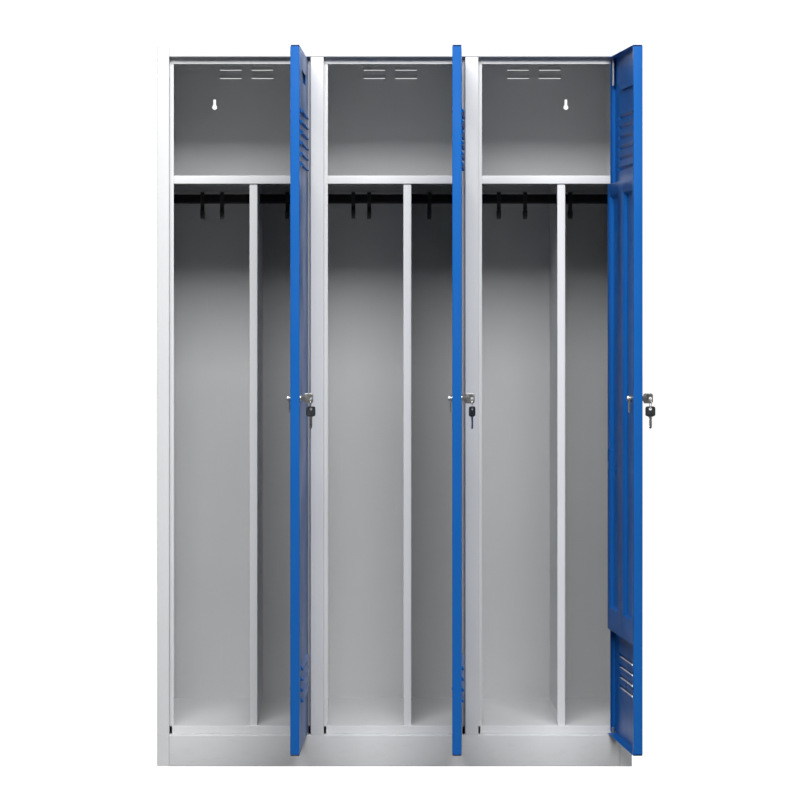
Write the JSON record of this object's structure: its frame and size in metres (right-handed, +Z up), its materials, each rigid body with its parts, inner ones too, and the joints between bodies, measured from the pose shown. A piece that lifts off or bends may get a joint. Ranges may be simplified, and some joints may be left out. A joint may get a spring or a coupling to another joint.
{
  "type": "clothes locker",
  "caption": "Steel clothes locker on a plinth, with louvred hinged doors, a hat shelf, an upright divider, a coat rail with sliding hooks, and cam locks with keys.",
  "frame": {"origin": "on the floor, in the middle of the plinth's bottom flange, 15 mm behind the locker's front face", "axes": "+Z up, +Y from the front to the back, +X to the right as seen from the front"},
  "size_m": [1.2081, 0.8266, 1.8],
  "materials": {
    "frame_grey": "light grey textured powder coat, satin",
    "door_blue": "bright blue textured powder coat, satin",
    "rail_black": "black satin coated steel tube",
    "hook_black": "black moulded plastic",
    "lock_nickel": "nickel plated, satin, lightly scratched",
    "key_black": "nickel plated key with a black plastic cap on its bow",
    "pin_steel": "zinc plated steel"
  },
  "bodies": {
    "cabinet": {"left_side_panel": "frame_grey", "right_side_panel": "frame_grey", "left_post": "frame_grey", "right_post": "frame_grey", "top_panel": "frame_grey", "top_rail": "frame_grey", "floor_panel": "frame_grey", "plinth": "frame_grey", "partition_1": "frame_grey", "middle_post_1": "frame_grey", "partition_2": "frame_grey", "middle_post_2": "frame_grey", "back_panel_1": "frame_grey", "hat_shelf_1": "frame_grey", "divider_1": "frame_grey", "coat_rail_1": "rail_black", "back_panel_2": "frame_grey", "hat_shelf_2": "frame_grey", "divider_2": "frame_grey", "coat_rail_2": "rail_black", "back_panel_3": "frame_grey", "hat_shelf_3": "frame_grey", "divider_3": "frame_grey", "coat_rail_3": "rail_black"},
    "door_1": {"door_skin_1": "door_blue", "door_stiffener_1": "door_blue", "upper_hinge_pin_1": "pin_steel", "lower_hinge_pin_1": "pin_steel", "lock_barrel_1": "lock_nickel"},
    "lock_1": {"lock_cam_1": "lock_nickel", "key_1": "lock_nickel", "key_ring_1": "lock_nickel"},
    "spare_1": {"spare_key_1": "key_black"},
    "hook_1_1": {"coat_hook_1_1": "hook_black"},
    "hook_1_2": {"coat_hook_1_2": "hook_black"},
    "hook_1_3": {"coat_hook_1_3": "hook_black"},
    "door_2": {"door_skin_2": "door_blue", "door_stiffener_2": "door_blue", "upper_hinge_pin_2": "pin_steel", "lower_hinge_pin_2": "pin_steel", "lock_barrel_2": "lock_nickel"},
    "lock_2": {"lock_cam_2": "lock_nickel", "key_2": "lock_nickel", "key_ring_2": "lock_nickel"},
    "spare_2": {"spare_key_2": "key_black"},
    "hook_2_1": {"coat_hook_2_1": "hook_black"},
    "hook_2_2": {"coat_hook_2_2": "hook_black"},
    "hook_2_3": {"coat_hook_2_3": "hook_black"},
    "door_3": {"door_skin_3": "door_blue", "door_stiffener_3": "door_blue", "upper_hinge_pin_3": "pin_steel", "lower_hinge_pin_3": "pin_steel", "lock_barrel_3": "lock_nickel"},
    "lock_3": {"lock_cam_3": "lock_nickel", "key_3": "lock_nickel", "key_ring_3": "lock_nickel"},
    "spare_3": {"spare_key_3": "key_black"},
    "hook_3_1": {"coat_hook_3_1": "hook_black"},
    "hook_3_2": {"coat_hook_3_2": "hook_black"},
    "hook_3_3": {"coat_hook_3_3": "hook_black"}
  },
  "joints": [
    {"name": "door_1_hinge", "type": "hinge", "parent": "cabinet", "child": "door_1", "pos_m": [-0.225, -0.007, 0.9], "axis": [0, 0, 1], "range_deg": [-87.3, 22.7]},
    {"name": "lock_1_turn", "type": "hinge", "parent": "door_1", "child": "lock_1", "pos_m": [-0.23918, -0.30767, 0.928], "axis": [-0.9989, 0.0471, 0], "range_deg": [0, 90]},
    {"name": "spare_key_1_hang", "type": "hinge", "parent": "lock_1", "child": "spare_1", "pos_m": [-0.20622, -0.30922, 0.9155], "axis": [-0.9989, 0.0471, 0], "range_deg": [-90, 0]},
    {"name": "hook_1_1_slide", "type": "slide", "parent": "cabinet", "child": "hook_1_1", "axis": [1, 0, 0], "range_m": [-0.0916, 0.0195]},
    {"name": "hook_1_2_slide", "type": "slide", "parent": "cabinet", "child": "hook_1_2", "axis": [1, 0, 0], "range_m": [-0.0195, 0.07]},
    {"name": "hook_1_3_slide", "type": "slide", "parent": "cabinet", "child": "hook_1_3", "axis": [1, 0, 0], "range_m": [-0.063, 0.0704]},
    {"name": "door_2_hinge", "type": "hinge", "parent": "cabinet", "child": "door_2", "pos_m": [0.161, -0.007, 0.9], "axis": [0, 0, 1], "range_deg": [-87, 23]},
    {"name": "lock_2_turn", "type": "hinge", "parent": "door_2", "child": "lock_2", "pos_m": [0.14525, -0.30759, 0.928], "axis": [-0.9986, 0.0523, 0], "range_deg": [0, 90]},
    {"name": "spare_key_2_hang", "type": "hinge", "parent": "lock_2", "child": "spare_2", "pos_m": [0.1782, -0.30932, 0.9155], "axis": [-0.9986, 0.0523, 0], "range_deg": [-90, 0]},
    {"name": "hook_2_1_slide", "type": "slide", "parent": "cabinet", "child": "hook_2_1", "axis": [1, 0, 0], "range_m": [-0.0834, 0.0145]},
    {"name": "hook_2_2_slide", "type": "slide", "parent": "cabinet", "child": "hook_2_2", "axis": [1, 0, 0], "range_m": [-0.0145, 0.075]},
    {"name": "hook_2_3_slide", "type": "slide", "parent": "cabinet", "child": "hook_2_3", "axis": [1, 0, 0], "range_m": [-0.045, 0.0884]},
    {"name": "door_3_hinge", "type": "hinge", "parent": "cabinet", "child": "door_3", "pos_m": [0.547, -0.007, 0.9], "axis": [0, 0, 1], "range_deg": [-94.5, 15.5]},
    {"name": "lock_3_turn", "type": "hinge", "parent": "door_3", "child": "lock_3", "pos_m": [0.57062, -0.30707, 0.928], "axis": [-0.9969, -0.0785, 0], "range_deg": [0, 90]},
    {"name": "spare_key_3_hang", "type": "hinge", "parent": "lock_3", "child": "spare_3", "pos_m": [0.60351, -0.30448, 0.9155], "axis": [-0.9969, -0.0785, 0], "range_deg": [-90, 0]},
    {"name": "hook_3_1_slide", "type": "slide", "parent": "cabinet", "child": "hook_3_1", "axis": [1, 0, 0], "range_m": [-0.0744, 0.028]},
    {"name": "hook_3_2_slide", "type": "slide", "parent": "cabinet", "child": "hook_3_2", "axis": [1, 0, 0], "range_m": [-0.028, 0.057]},
    {"name": "hook_3_3_slide", "type": "slide", "parent": "cabinet", "child": "hook_3_3", "axis": [1, 0, 0], "range_m": [-0.024, 0.1226]}
  ],
  "couplings": [
    {"joint": "spare_key_1_hang", "follows": "lock_1_turn", "ratio": -1},
    {"joint": "spare_key_2_hang", "follows": "lock_2_turn", "ratio": -1},
    {"joint": "spare_key_3_hang", "follows": "lock_3_turn", "ratio": -1}
  ]
}
